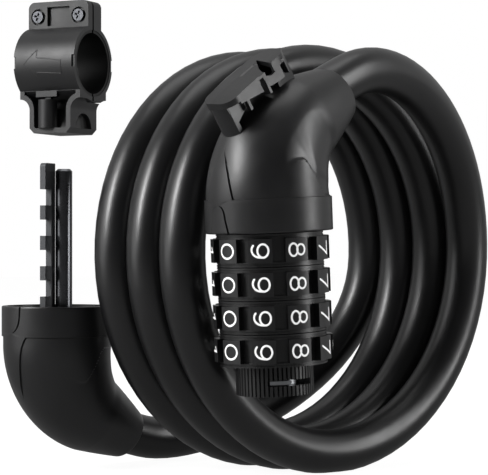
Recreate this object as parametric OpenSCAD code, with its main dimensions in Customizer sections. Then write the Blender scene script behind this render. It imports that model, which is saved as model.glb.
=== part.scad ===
/* [Cable] */
// Outer diameter of the cable's plastic jacket
cable_d = 12; // [8:0.5:15]
// Diameter of the steel rope inside the jacket
core_d = 7; // [4:0.5:7.5]
// Gap left between the steel rope and the jacket
core_gap = 0.3; // [0.2:0.1:0.6]
// Radius of the coil, to the middle of the cable
coil_r = 53; // [45:1:60]
// Distance between two neighbouring turns of the coil
coil_pitch = 13; // [12.8:0.1:18]
// Whole turns of the coil between its two leads
coil_turns = 3; // [2:1:5]

/* [Dials] */
// Number of number dials
dial_count = 4; // [3:1:5]
// Distance from one dial to the next
dial_pitch = 8.25; // [7.5:0.05:10]
// Gap between two neighbouring dials
dial_gap = 0.2; // [0.1:0.05:0.4]
// Diameter across the raised number faces
dial_d = 29.7; // [28:0.1:34]
// Diameter of the thin flanges above and below the faces
flange_d = 26.9; // [25:0.1:27.5]
// Height of the raised faces
band_h = 5.8; // [4:0.1:6.5]
// Number of faces on each dial
face_count = 10; // [8:1:12]
// Width of the slot between two faces
slot_w = 3.3; // [2:0.1:4]
// Depth of the slot between two faces
slot_depth = 2; // [1:0.1:2.2]
// Diameter of the opening that holds the clutch ring
clutch_d = 20.4; // [19:0.1:21]
// Thickness of the clutch web that blocks the bolt's teeth
web_h = 3.6; // [3:0.1:4]

/* [Dial head] */
// Diameter of the collar above the dials
collar_d = 32; // [31:0.1:36]
// Height of the collar
collar_h = 8.5; // [7:0.1:12]
// Step between the collar and the housing above it
panel_step = 0.4; // [0.2:0.1:0.8]
// Radius of the bend in the housing
bend_r = 21.6; // [20:0.1:26]
// Angle through which the housing bends
bend_angle = 63; // [50:1:75]
// Straight length of the housing after the bend
nose_l = 14.3; // [12:0.1:20]
// Diameter of the housing where the cable comes out
nose_d = 15.6; // [14.5:0.1:20]
// Lean of the dial head in the plane of the coil
head_lean = 3; // [0:0.5:6]

/* [Carrying lug] */
// Place of the lug along the bend
lug_angle = 47; // [42:0.5:56]
// Angle between the lug's plate and the housing under it
lug_tilt = 11; // [5:0.5:14]
// Height of the middle of the lug's plate above the housing
lug_rise = 6.2; // [5.6:0.1:8]
// Length of the lug's plate
lug_l = 25.4; // [20:0.2:26]
// Width of the lug's plate
lug_w = 10.4; // [8:0.1:12]
// Thickness of the lug's plate
lug_t = 1.8; // [1.2:0.1:2.4]

/* [Spindle and bolt] */
// Outer diameter of the spindle that the dials turn on
spindle_d = 12.6; // [12.2:0.1:13]
// Running clearance between the spindle and what turns on it
run_gap = 0.08; // [0.05:0.01:0.1]
// Diameter of the round bolt
bolt_d = 4.6; // [4:0.1:4.8]
// Clearance round the bolt in its channel
bolt_gap = 0.15; // [0.1:0.05:0.25]
// Distance of the bolt's axis from the middle plane of the toothed bar
bolt_side = 2.8; // [2.6:0.1:2.9]
// Distance of the bolt's axis from the head's axis, towards the teeth
bolt_ahead = 1.2; // [0.8:0.1:1.4]
// Heading of the toothed bar round the head's axis
bar_angle = 200; // [190:1:205]
// Thickness of the toothed bar
bar_t = 1.7; // [1.5:0.1:2]
// Distance from the head's axis to the root of the teeth
bar_root = 4.6; // [4.2:0.1:5]
// Distance from the head's axis to the tip of the teeth
bar_tip = 7.6; // [7.4:0.1:8]
// Height of the gap between two teeth
tooth_gap = 4.4; // [4.2:0.1:5]

/* [Reset ring] */
// Diameter of the knurled reset ring
reset_d = 19.6; // [19:0.1:21]
// Height of the knurled reset ring
reset_h = 7.4; // [6.5:0.1:9]
// Number of grooves in the knurling
knurl_count = 54; // [30:1:60]
// Depth of the knurling
knurl_depth = 0.45; // [0.2:0.05:0.6]
// Arc of the window in the reset ring
window_arc = 76; // [60:1:90]
// Arc of the steel key seen in the window
key_arc = 36; // [20:1:37]
// Height of the window
window_h = 1.5; // [1.2:0.1:2]

/* [Bolt head] */
// Diameter of the bolt head's rim
rim_d = 30.4; // [29.5:0.1:34]
// Straight height of the bolt head below its rim
rim_h = 11; // [9:0.1:14]
// Height of the band at the rim, up to the step
rim_band = 8.3; // [6:0.1:9]
// Depth of the cup that takes in the reset ring
cup_depth = 9.5; // [9:0.1:12]
// Wall of the cup
cup_wall = 1.5; // [1.2:0.1:2]
// Thickness of the plate at the bottom of the cup
cup_plate_t = 1.2; // [0.8:0.1:1.6]
// Diameter of the bolt head where the cable comes out
tail_d = 14.2; // [13.8:0.1:18]
// Angle of the cable as it leaves the bolt head
tail_angle = 15; // [10:1:30]
// Gap between the rim and the last dial when the lock is shut
shut_gap = 0.8; // [0.4:0.1:1]
// Length of the round bolt above the rim
bolt_l = 37.4; // [35:0.1:38]
// Length of the toothed bar above the rim
bar_l = 38.9; // [37:0.1:39.5]

/* [Bracket] */
// Diameter of the frame tube that the lined clamp holds
tube_d = 19.2; // [18:0.1:22]
// Length of the bracket along the tube
bracket_l = 22; // [20:0.5:30]
// Thickness of the rubber liners
liner_t = 0.9; // [0.6:0.1:1.5]
// Wall of the two jaws
jaw_wall = 1.35; // [1.2:0.05:3]
// Gap between the two jaws when they are closed
jaw_gap = 0.8; // [0.4:0.1:1.5]
// Distance from each clamp screw to its end of the bracket
screw_inset = 3.55; // [3:0.05:4.5]
// Diameter of the clamp screws
screw_d = 2.4; // [2:0.1:2.8]
// Diameter of the screws' heads
screw_head_d = 3.8; // [3.4:0.1:4.2]
// Height of the ears that the screws pass through
ear_h = 9.4; // [9:0.2:12]
// Thickness of the front jaw's ear
ear_front = 2.6; // [2.4:0.1:4]
// Thickness of the rear jaw's ear
ear_rear = 4.6; // [3.5:0.1:6]
// Depth of the flange and the socket below the ring, across the tube
socket_d = 16; // [15:0.5:18]
// Width of the socket, along the tube
socket_w = 15; // [14:0.2:18]
// Height of the socket below the flange
socket_h = 10.8; // [9:0.2:13]
// Thickness of the flange above the socket
flange_h = 3.2; // [3:0.1:4]
// Wall of the socket
socket_wall = 1.6; // [1.2:0.1:2]
// Radius of the round boss in the socket's mouth
boss_r = 3; // [2.5:0.1:3]

/* [Hidden] */
$fn = 72;

// Small distances used in several places
eps = 0.01;
seat = 0.05;          // clearance of a part that is pressed or moulded into its seat
apart = 0.3;          // clearance between curved surfaces of different bodies
cut = 60;             // length of a cutter that has to reach past everything

// Places in the coil: the coil's axis runs along Y
coil_x = 53.65;       // coil axis, measured from the lug
coil_z = -44.95;
coil_y = 24;          // left side of the first turn
bolt_at = [-1.0, 73.4, -58];    // middle of the bolt head's rim
bracket_at = [51, 136.4, 16];       // middle of the bracket's clamp ring
bracket_turn = 20;                // heading of the bracket
socket_l = 7;         // length of the cable jacket held inside each head
ferrule_l = 11;       // length of the ferrule behind the jacket's end
ferrule_d = 9.6;
flange_t = 2;         // ferrule's retaining flange
ferrule_flange_d = 11.4;

// Derived sizes
screw_pitch = bracket_l - 2 * screw_inset;
cable_r = cable_d / 2;
dial_h = dial_pitch - dial_gap;
stack_h = dial_count * dial_pitch;            // collar to the bottom of the last dial
spindle_top = 7;
channel_top = bar_l - shut_gap - stack_h + 1;          // end of the bolt's channel
reset_top = -stack_h - dial_gap / 2;
reset_bottom = reset_top - reset_h;
base_r = collar_d / 2 - panel_step;
slide_r = bar_tip + apart;                    // reach of the slot for the teeth
bar_slot = bar_t + 2 * apart;
bar_inner = bolt_ahead + sqrt(pow(bolt_d / 2 + seat, 2) - pow(bolt_side - bar_t / 2, 2));
slot_inner = bar_inner - apart;
clutch_r = clutch_d / 2 - seat;
index_a = 180;                                // the index marks face -X
window_mid = 252.5;                           // middle of the reset ring's window

function polar(r, a) = [r * cos(a), r * sin(a)];
function unit(v) = v / norm(v);
function dial_mid(k) = -dial_gap - dial_h / 2 - (k - 1) * dial_pitch;

// ---------- swept tubes ----------
// Each station is [place, direction, radius]
function section(s, side, sides) =
    let (t = unit(s[1]), n = unit([0, 1, 0] - t[1] * t), b = cross(t, n), a = 360 * side / sides)
    s[0] + s[2] * (cos(a) * n + sin(a) * b);

module swept(stations, sides) {
    n = len(stations);
    points = [for (s = stations) for (j = [0 : sides - 1]) section(s, j, sides)];
    walls = [
        for (i = [0 : n - 2]) for (j = [0 : sides - 1])
            let (k = (j + 1) % sides, a = i * sides, b = a + sides)
            each [[a + j, b + j, b + k], [a + j, b + k, a + k]]
    ];
    start_cap = [for (j = [0 : sides - 1]) j];
    end_cap = [for (j = [sides - 1 : -1 : 0]) (n - 1) * sides + j];
    polyhedron(points, concat(walls, [start_cap, end_cap]));
}

// ---------- bent, tapering housing of each head ----------
// The bend starts at height h and turns from +Z towards +X
function bend_point(h, a) = [bend_r * (1 - cos(a)), 0, h + bend_r * sin(a)];
function nose_dir(turn) = [sin(turn), 0, cos(turn)];
function taper(base, nose, share) = base - (base - nose) * pow(share, 1.55);
bend_l = bend_r * bend_angle * PI / 180;
function share_at(a) = bend_r * a * PI / 180 / (bend_l + nose_l);
function bent_body(h, base, nose, grow = 0, below = 2, steps = 12) = concat(
    [[[0, 0, h - below], [0, 0, 1], base + grow]],
    [for (i = [0 : steps])
        let (a = bend_angle * i / steps)
        [bend_point(h, a), nose_dir(a), taper(base, nose, share_at(a)) + grow]],
    [for (i = [1 : 4])
        let (l = nose_l * i / 4, share = (bend_l + l) / (bend_l + nose_l))
        [bend_point(h, bend_angle) + l * nose_dir(bend_angle), nose_dir(bend_angle),
            taper(base, nose, share) + grow]]
);
function nose_end(h) = bend_point(h, bend_angle) + nose_l * nose_dir(bend_angle);

// Place and direction of the cable as it leaves each head, in that head's own frame
exit_rise = 2.4;      // the cable leaves above the middle of the nose
lock_exit_dir = [cos(22), 0, sin(22)];
lock_exit = nose_end(collar_h) + [0, 0, exit_rise];
tail_exit_dir = [cos(tail_angle), 0, sin(tail_angle)];
tail_exit = nose_end(rim_h) + [0, 0, -0.5];

// Middle of the lug's plate, which is the origin of the part
lug_reach = bend_r + taper(base_r, nose_d / 2, share_at(lug_angle)) + lug_rise;
lug_at = [bend_r - lug_reach * cos(lug_angle), 0, collar_h + lug_reach * sin(lug_angle)];
lug_normal = lug_angle + lug_tilt;

// The bolt and its bar: side is 1 in the dial head and -1 in the bolt head, which is upside down
module on_bar(side) {
    rotate([0, 0, side * bar_angle]) children();
}
module at_bolt(side) {
    on_bar(side) translate([bolt_ahead, side * bolt_side, 0]) children();
}

module in_dial_head() {
    rotate([0, -head_lean, 0]) translate(-lug_at) children();
}
module in_bolt_head() {
    translate(bolt_at) rotate([180, 0, 0]) children();
}
module in_bracket() {
    translate(bracket_at) rotate([0, 0, bracket_turn]) children();
}
// Lays a cylinder's axis along a direction in the XZ plane
module along(place, dir) {
    translate(place) rotate([0, atan2(dir[0], dir[2]), 0]) children();
}

// ---------- dial head ----------
module cable_seat(place, dir) {
    along(place, dir) {
        translate([0, 0, -socket_l]) cylinder(h = socket_l + nose_d, r = cable_r + apart);
        translate([0, 0, -socket_l - ferrule_l - seat]) cylinder(h = ferrule_l + 1, d = ferrule_d + 2 * seat);
        translate([0, 0, -socket_l - ferrule_l - seat])
            cylinder(h = flange_t + 2 * seat, d = ferrule_flange_d + 2 * seat);
    }
}

module ferrule(place, dir) {
    bore = core_d + 2 * core_gap;
    along(place - (socket_l + ferrule_l) * dir, dir)
        difference() {
            union() {
                cylinder(h = ferrule_l, d = ferrule_d);
                cylinder(h = flange_t, d = ferrule_flange_d);
            }
            translate([0, 0, 1]) cylinder(h = ferrule_l, d = bore);
        }
}

module index_recess(r, h) {
    depth = 0.5;
    width = 3.8;
    translate([-r, 0, 0]) {
        translate([-depth, -width / 2, -1]) cube([2 * depth, width, h - width / 2 + 1]);
        translate([-depth, 0, h - width / 2]) rotate([0, 90, 0]) cylinder(h = 2 * depth, d = width, $fn = 32);
    }
}

// Plate: straight sides, a tapered end towards the nose and a square end with round corners towards the dials
module lug_outline(grow = 0) {
    half_l = lug_l / 2 + grow;
    half_w = lug_w / 2 + grow;
    taper_l = 3;
    taper_w = 2.2;
    round_r = lug_w * 0.22;
    polygon([
        [-half_l + round_r, -half_w], [half_l - taper_l, -half_w], [half_l, -half_w + taper_w],
        [half_l, half_w - taper_w], [half_l - taper_l, half_w], [-half_l + round_r, half_w]
    ]);
    for (side = [-1, 1]) translate([-half_l + round_r, side * (half_w - round_r)]) circle(r = round_r, $fn = 32);
    translate([-half_l, -half_w + round_r]) square([round_r, 2 * (half_w - round_r)]);
}
// A flat piece drawn along the lug and down from its plate, t thick to the right of y
module lug_wall(y, t, points) {
    translate([0, y + t, 0]) rotate([90, 0, 0]) linear_extrude(t) polygon(points);
}
module carrying_lug() {
    half_l = lug_l / 2;
    half_w = lug_w / 2;
    drop = 2.3 * lug_rise;
    wall = 1.2;
    core = 0.7 * half_w;  // half width of what stands on the housing
    web_l = 5.7;
    skirt = 4.6;          // depth of the sides under the tapered end
    block_at = half_l - 7;
    rail_at = 0.9;        // start of the rail beside the hole
    slit = 0.9;
    post_at = -6.4;
    along(lug_at, [-cos(lug_normal), 0, sin(lug_normal)]) {
        difference() {
            union() {
                translate([0, 0, -lug_t]) linear_extrude(lug_t) lug_outline();
                intersection() {
                    translate([0, 0, -drop]) linear_extrude(drop - lug_t / 2) lug_outline(-seat);
                    union() {
                        translate([-half_l - 1, -core, -drop]) cube([1 + wall, 2 * core, drop]);
                        translate([block_at, -core, -drop]) cube([lug_l, 2 * core, drop]);
                        translate([block_at, -lug_w, -skirt]) cube([lug_l, 2 * lug_w, skirt]);
                        translate([rail_at, -core, -drop]) cube([wall, 2 * core, drop]);
                    }
                }
                for (y = [-core + eps, core - wall - eps]) lug_wall(y, wall, [
                    [-half_l + seat + eps, -1], [-half_l + web_l, -1], [-half_l + web_l, -skirt], [-half_l + seat + eps, -skirt - 2.3]
                ]);
                translate([post_at, -core - wall / 2, -skirt - wall]) cube([wall * 0.7, wall, skirt + wall - lug_t / 2]);
            }
            // hole through the plate, and the two slits in the near side
            translate([0, 0, -lug_t - 1]) linear_extrude(lug_t + 2)
                polygon([[1.4, -lug_w], [5, -lug_w], [7.2, 1.9], [4.8, 1.4], [1.4, -half_w + 0.6]]);
            translate([-slit / 2, -lug_w, -skirt]) cube([slit, lug_w - core, skirt - slit]);
            translate([half_l - 5.2, -lug_w, -skirt - 1]) cube([slit, lug_w - core, skirt - 0.5]);
        }
        lug_wall(-half_w + eps, wall, [
            [rail_at, -lug_t / 4], [1.6, -lug_t / 4], [5, -lug_t], [block_at + wall, -lug_t],
            [block_at + wall, -skirt + eps], [rail_at, -skirt + 1]
        ]);
    }
}

module lock_housing() {
    color("#1b1b1c") in_dial_head() difference() {
        union() {
            cylinder(h = collar_h, d = collar_d);
            swept(bent_body(collar_h, base_r, nose_d / 2), 40);
            spine_strip();
            carrying_lug();
        }
        index_recess(collar_d / 2, collar_h * 0.82);
        translate([0, 0, -eps]) cylinder(h = spindle_top + seat + eps, d = spindle_d + 2 * seat);
        on_bar(1) translate([0, -bar_slot / 2, -eps]) cube([slide_r, bar_slot, channel_top + eps]);
        cable_seat(lock_exit, lock_exit_dir);
    }
}

// Raised strip that runs from the index mark up the back of the housing
module spine_strip() {
    half_w = 3.3;
    intersection() {
        swept(bent_body(collar_h, base_r, nose_d / 2, panel_step - seat), 40);
        translate([-cut, -half_w, 1]) cube([cut, 2 * half_w, cut]);
    }
}

module spindle() {
    channel_r = bolt_d / 2 + bolt_gap;
    color("#8f9194") in_dial_head() difference() {
        translate([0, 0, reset_bottom]) cylinder(h = spindle_top - reset_bottom, d = spindle_d);
        translate([0, 0, reset_bottom - 1]) at_bolt(1) cylinder(h = channel_top - reset_bottom + 1, r = channel_r);
        on_bar(1) translate([slot_inner, -bar_slot / 2, reset_bottom - 1])
            cube([spindle_d, bar_slot, channel_top - reset_bottom + 1]);
        for (k = [1 : dial_count])
            at_detent(k) translate([0, 0, -detent_pocket]) cylinder(h = detent_pocket + 1, r = detent_r + seat, $fn = 24);
        clip_groove();
        key_groove();
    }
}

// ---------- detents: a ball and a spring under each dial ----------
detent_r = 0.75;
detent_recess = 0.1;
detent_a = 60;
detent_pocket = 0.26 * spindle_d;
// On the spindle's surface under dial k, with +Z pointing outwards
module at_detent(k) {
    translate([0, 0, dial_mid(k)]) rotate([0, 90, detent_a]) translate([0, 0, spindle_d / 2]) children();
}
module detent_balls() {
    color("#c9ccd0") in_dial_head() for (k = [1 : dial_count])
        at_detent(k) translate([0, 0, -detent_recess - detent_r]) sphere(r = detent_r, $fn = 24);
}
module detent_springs() {
    length = 2 * detent_r;
    color("#a9acb0") in_dial_head() for (k = [1 : dial_count])
        at_detent(k) translate([0, 0, -detent_pocket]) difference() {
            cylinder(h = length, r = detent_r - seat, $fn = 24);
            translate([0, 0, -1]) cylinder(h = length + 2, r = detent_r - 0.35, $fn = 24);
        }
}

// ---------- dials ----------
module dial(k) {
    step = 360 / face_count;
    color("#232324") in_dial_head() translate([0, 0, dial_mid(k)]) difference() {
        union() {
            translate([0, 0, -dial_h / 2]) cylinder(h = dial_h, d = flange_d);
            translate([0, 0, -band_h / 2]) cylinder(h = band_h, d = dial_d);
        }
        for (i = [0 : face_count - 1]) rotate([0, 0, index_a + step * (i + 0.5)]) {
            translate([dial_d / 2 - slot_depth, -slot_w / 2, -band_h / 2 + eps])
                cube([slot_depth + 1, slot_w, band_h - 2 * eps]);
            translate([flange_d / 2 - 0.01, -slot_w / 2, -band_h / 2 - 0.1])
                cube([slot_depth + 1, slot_w, band_h + 0.2]);
        }
        flange_groove(1);
        flange_groove(-1);
        translate([0, 0, -dial_h / 2 - 1]) cylinder(h = dial_h + 2, d = clutch_d);
        for (i = [0 : face_count - 1]) rotate([0, 0, step * i])
            translate([clutch_d / 2, 0, -dial_h / 2 - 1]) cylinder(h = dial_h + 2, r = key_r + seat, $fn = 16);
    }
}
// Thin line round each flange
module flange_groove(side) {
    line_w = 0.25;
    translate([0, 0, side * (band_h / 2 + 0.55) - line_w / 2]) difference() {
        cylinder(h = line_w, d = flange_d + 2);
        translate([0, 0, -1]) cylinder(h = line_w + 2, d = flange_d - 0.5);
    }
}
module dial_1() { dial(1); }
module dial_2() { dial(2); }
module dial_3() { dial(3); }
module dial_4() { dial(4); }

// Each clutch ring turns with its dial and lets the teeth through in one place only
key_r = 0.7;
module clutch_ring(k) {
    recess_r = clutch_r - 1;
    rim_h = dial_h - 0.3;
    color("#b08d4a") in_dial_head() translate([0, 0, dial_mid(k)]) difference() {
        union() {
            translate([0, 0, -rim_h / 2]) cylinder(h = rim_h, r = clutch_r);
            for (i = [0, 5]) rotate([0, 0, 36 * i + 72])
                translate([clutch_d / 2, 0, -rim_h / 2 + 0.2]) cylinder(h = rim_h - 0.4, r = key_r, $fn = 16);
        }
        translate([0, 0, -rim_h]) cylinder(h = 2 * rim_h, r = spindle_d / 2 + run_gap);
        for (side = [-1, 1]) translate([0, 0, side * (web_h / 2 + cut / 2)])
            cylinder(h = cut, r = recess_r, center = true);
        on_bar(1) translate([0, -bar_slot / 2, -rim_h]) cube([slide_r, bar_slot, 2 * rim_h]);
    }
}
module clutch_ring_1() { clutch_ring(1); }
module clutch_ring_2() { clutch_ring(2); }
module clutch_ring_3() { clutch_ring(3); }
module clutch_ring_4() { clutch_ring(4); }

// ---------- reset ring at the bolt's mouth ----------
spring_in = spindle_d / 2 + apart;
spring_w = 1.7;
spring_t = 1;
clip_t = 0.9;
clip_bite = 0.45;     // depth of the clip's groove in the spindle
key_bite = 0.4;       // depth of the key's groove in the spindle
clip_out = 8;
clip_z = reset_bottom + 1.3;
window_z = reset_top - 4.1;
key_t = 0.9;
key_out = 8.9;

module clip_groove() {
    groove_r = spindle_d / 2 - clip_bite;
    translate([0, 0, clip_z - 0.05]) difference() {
        cylinder(h = clip_t + 0.1, d = spindle_d + 2);
        translate([0, 0, -1]) cylinder(h = clip_t + 3, r = groove_r);
    }
}
module key_groove() {
    groove_r = spindle_d / 2 - key_bite;
    translate([0, 0, window_z - key_t / 2 - seat]) sector(groove_r, spindle_d, key_t + 2 * seat,
        window_mid - window_arc / 2 + 3 - 1, window_mid - window_arc / 2 + 3 + key_arc + 1);
}
// A flat ring sector from angle a to angle b
module sector(r_in, r_out, h, a, b) {
    reach = 2 * r_out;
    intersection() {
        difference() {
            cylinder(h = h, r = r_out);
            translate([0, 0, -1]) cylinder(h = h + 2, r = r_in);
        }
        linear_extrude(h) polygon([[0, 0], polar(reach, a), polar(reach, (a + b) / 2), polar(reach, b)]);
    }
}

module wave_spring() {
    color("#9fa2a6") in_dial_head() translate([0, 0, reset_top - spring_t - 0.1]) difference() {
        cylinder(h = spring_t, r = spring_in + spring_w);
        translate([0, 0, -1]) cylinder(h = spring_t + 2, r = spring_in);
        on_bar(1) translate([0, -bar_slot / 2, -1]) cube([cut, bar_slot, spring_t + 2]);
    }
}

module reset_ring() {
    groove = 360 / knurl_count;
    outline = [for (i = [0 : knurl_count - 1]) each [
        polar(reset_d / 2, groove * (i - 0.3)), polar(reset_d / 2, groove * (i + 0.3)),
        polar(reset_d / 2 - knurl_depth, groove * (i + 0.5))
    ]];
    spring_room = 1.4;
    color("#232324") in_dial_head() difference() {
        translate([0, 0, reset_bottom]) linear_extrude(reset_h) polygon(outline);
        translate([0, 0, reset_bottom - 1]) cylinder(h = reset_h + 2, r = spindle_d / 2 + run_gap);
        translate([0, 0, reset_top - spring_room]) cylinder(h = spring_room + 1, r = spring_in + spring_w + apart);
        translate([0, 0, reset_bottom - 1]) cylinder(h = 3.5, r = clip_out + apart);
        on_bar(1) translate([0, -bar_slot / 2, reset_bottom - 1]) cube([slide_r, bar_slot, reset_h + 2]);
        translate([0, 0, window_z - window_h / 2])
            sector(spindle_d / 2 - 1, reset_d, window_h, window_mid - window_arc / 2, window_mid + window_arc / 2);
    }
}

module reset_key() {
    start = window_mid - window_arc / 2 + 3;
    color("#d5d8db") in_dial_head() translate([0, 0, window_z - key_t / 2])
        sector(spindle_d / 2 - key_bite + seat, key_out, key_t, start, start + key_arc);
}

module retaining_clip() {
    mouth = 2 * bar_slot;
    color("#9fa2a6") in_dial_head() translate([0, 0, clip_z]) difference() {
        cylinder(h = clip_t, r = clip_out);
        translate([0, 0, -1]) cylinder(h = clip_t + 2, r = spindle_d / 2 - clip_bite + seat);
        on_bar(1) translate([0, -mouth / 2, -1]) cube([cut, mouth, clip_t + 2]);
    }
}

module lock_ferrule() {
    color("#b8bbbf") in_dial_head() ferrule(lock_exit, lock_exit_dir);
}

// ---------- cable ----------
function lean(v) = [v[0] * cos(head_lean) - v[2] * sin(head_lean), v[1],
    v[0] * sin(head_lean) + v[2] * cos(head_lean)];
function flip(v) = [v[0], -v[1], -v[2]];
// Point and direction on the coil, s turns on from the left side of the first turn
function coil_point(s) = [coil_x - coil_r * cos(360 * s), coil_y - coil_pitch * s, coil_z - coil_r * sin(360 * s)];
function coil_dir(s) = unit([2 * PI * coil_r * sin(360 * s), -coil_pitch, -2 * PI * coil_r * cos(360 * s)]);
function curve(a, da, b, db, t) =
    pow(1 - t, 3) * a + 3 * pow(1 - t, 2) * t * (a + da) + 3 * (1 - t) * t * t * (b - db) + pow(t, 3) * b;
function curve_dir(a, da, b, db, t) =
    unit(pow(1 - t, 2) * da + 2 * (1 - t) * t * (b - db - a - da) + t * t * db);

first_s = 0.5;
last_s = first_s - coil_turns;
rings_per_turn = 24;
lead_rings = 9;
out_of_lock = [26, 36];           // how far the lead keeps its direction at each end
into_bolt = [38, 22];
start_at = lean(lock_exit - lug_at);
start_dir = lean(lock_exit_dir);
end_at = bolt_at + flip(tail_exit);
end_dir = -flip(tail_exit_dir);
run_in = start_at + cable_d / 2 * start_dir;
run_out = end_at - cable_d / 2 * end_dir;
// Route as [place, direction] from the dial head to the bolt head
function route(inset) = concat(
    [[start_at - inset * start_dir, start_dir]],
    [for (i = [0 : lead_rings])
        let (t = i / lead_rings, a = out_of_lock[0] * start_dir, b = -out_of_lock[1] * coil_dir(first_s))
        [curve(run_in, a, coil_point(first_s), b, t), curve_dir(run_in, a, coil_point(first_s), b, t)]],
    [for (i = [1 : coil_turns * rings_per_turn - 1])
        let (s = first_s - i / rings_per_turn) [coil_point(s), -coil_dir(s)]],
    [for (i = [0 : lead_rings])
        let (t = i / lead_rings, a = -into_bolt[0] * coil_dir(last_s), b = into_bolt[1] * end_dir)
        [curve(coil_point(last_s), a, run_out, b, t), curve_dir(coil_point(last_s), a, run_out, b, t)]],
    [[end_at + inset * end_dir, end_dir]]
);
function tube(inset, r) = [for (s = route(inset)) [s[0], s[1], r]];

cable_sides = 6;
bore_r = core_d / 2 + core_gap;
module cable_jacket() {
    color("#161617") difference() {
        swept(tube(socket_l, cable_r), cable_sides);
        swept(tube(socket_l + 1, bore_r), cable_sides);
    }
}
module cable_core() {
    color("#8f9194") swept(tube(socket_l + ferrule_l - 1.5, core_d / 2), cable_sides);
}
module bolt_ferrule() {
    color("#b8bbbf") in_bolt_head() ferrule(tail_exit, tail_exit_dir);
}

// Least gap between any two stretches of the cable that lie more than half a turn apart
centre = [for (s = route(socket_l)) s[0]];
apart_by = rings_per_turn / 2;
gap_list = [for (i = [0 : len(centre) - 2]) for (j = [i + apart_by : 1 : len(centre) - 1])
    norm(centre[i] - centre[j]) - cable_d];
steps_l = [for (i = [0 : len(centre) - 2]) norm(centre[i + 1] - centre[i])];
function total(v, i = 0) = i == len(v) ? 0 : v[i] + total(v, i + 1);
echo(least_gap_to_itself = min(gap_list), length = total(steps_l));  // cable_jacket

// ---------- bolt head: modelled with its rim at z = 0 and its body above ----------
module bolt_housing() {
    cup_r = rim_d / 2 - cup_wall;
    color("#1b1b1c") in_bolt_head() difference() {
        union() {
            cylinder(h = rim_band, d = rim_d);
            swept(bent_body(rim_h, rim_d / 2 - panel_step, tail_d / 2, 0, rim_h - rim_band + 1), 40);
        }
        translate([0, 0, -eps]) cylinder(h = cup_depth + eps, r = cup_r);
        index_recess(rim_d / 2, 0.87 * rim_band);
        rod_room(seat);
        cable_seat(tail_exit, tail_exit_dir);
    }
}
rod_foot = 8;         // how far the bolt reaches into the solid body
module rod_room(gap) {
    translate([0, 0, cup_depth - 2 - gap]) {
        at_bolt(-1) cylinder(h = rod_foot + 2 + 2 * gap, d = bolt_d + 2 * gap);
        on_bar(-1) translate([bar_inner - gap, -bar_t / 2 - gap, 0])
            cube([bar_root - bar_inner + 2 * gap, bar_t + 2 * gap, rod_foot + 2 + 2 * gap]);
    }
}
module cup_plate() {
    color("#2c2d2f") in_bolt_head() difference() {
        translate([0, 0, cup_depth - cup_plate_t]) cylinder(h = cup_plate_t, r = rim_d / 2 - cup_wall - seat);
        rod_room(seat);
    }
}
module bolt_rod() {
    chamfer = 0.6;
    r = bolt_d / 2;
    color("#6f7174") in_bolt_head() at_bolt(-1) rotate_extrude() polygon([
        [0, -bolt_l], [r - chamfer, -bolt_l], [r, -bolt_l + chamfer],
        [r, cup_depth + rod_foot], [0, cup_depth + rod_foot]
    ]);
}
module bolt_bar() {
    corner = 1;
    top = cup_depth - cup_plate_t;
    gaps = [for (k = [1 : dial_count]) -(stack_h + shut_gap + dial_mid(k))];
    color("#5f6164") in_bolt_head() on_bar(-1) translate([0, bar_t / 2, 0]) rotate([90, 0, 0])
        linear_extrude(bar_t) difference() {
            union() {
                translate([bar_inner, -bar_l + corner]) square([bar_tip - bar_inner, bar_l - corner + top]);
                translate([bar_inner, -bar_l]) square([bar_tip - bar_inner - corner, bar_l]);
                translate([bar_tip - corner, -bar_l + corner]) circle(r = corner, $fn = 32);
                translate([bar_inner, top - 1]) square([bar_root - bar_inner, rod_foot + cup_plate_t + 1]);
            }
            for (z = gaps) translate([bar_root, z - tooth_gap / 2]) square([cut, tooth_gap]);
        }
}

// ---------- frame bracket: tube axis along Y, front towards -X ----------
liner_r = tube_d / 2 + liner_t;
jaw_r = liner_r + jaw_wall;
ear_top = liner_r + ear_h;
ear_round = 2.2;
screw_z = ear_top - ear_h * 0.5;
flange_top = -jaw_r + 3.8;        // the flange starts beside the ring
flange_bottom = flange_top - flange_h;
roof_z = -jaw_r - apart;          // top of the socket under the rear jaw
socket_front = -socket_d / 2;
sink_d = 5.2;                     // counterbore round each screw's head
sink_h = 1.2;

module lying_cylinder(r, l) {
    rotate([90, 0, 0]) cylinder(h = l, r = r, center = true);
}
module screw_places() {
    for (y = [-screw_pitch / 2, screw_pitch / 2]) translate([0, y, screw_z]) rotate([0, 90, 0]) children();
}
// Ear with two round upper corners, from x = a to x = b
module ear(a, b) {
    half = bracket_l / 2;
    translate([a, 0, 0]) rotate([90, 0, 90]) linear_extrude(b - a) {
        translate([-half, liner_r - 2]) square([bracket_l, ear_top - ear_round - liner_r + 2]);
        translate([-half + ear_round, liner_r]) square([bracket_l - 2 * ear_round, ear_top - liner_r]);
        for (side = [-1, 1]) translate([side * (half - ear_round), ear_top - ear_round]) circle(r = ear_round, $fn = 32);
    }
}
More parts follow.
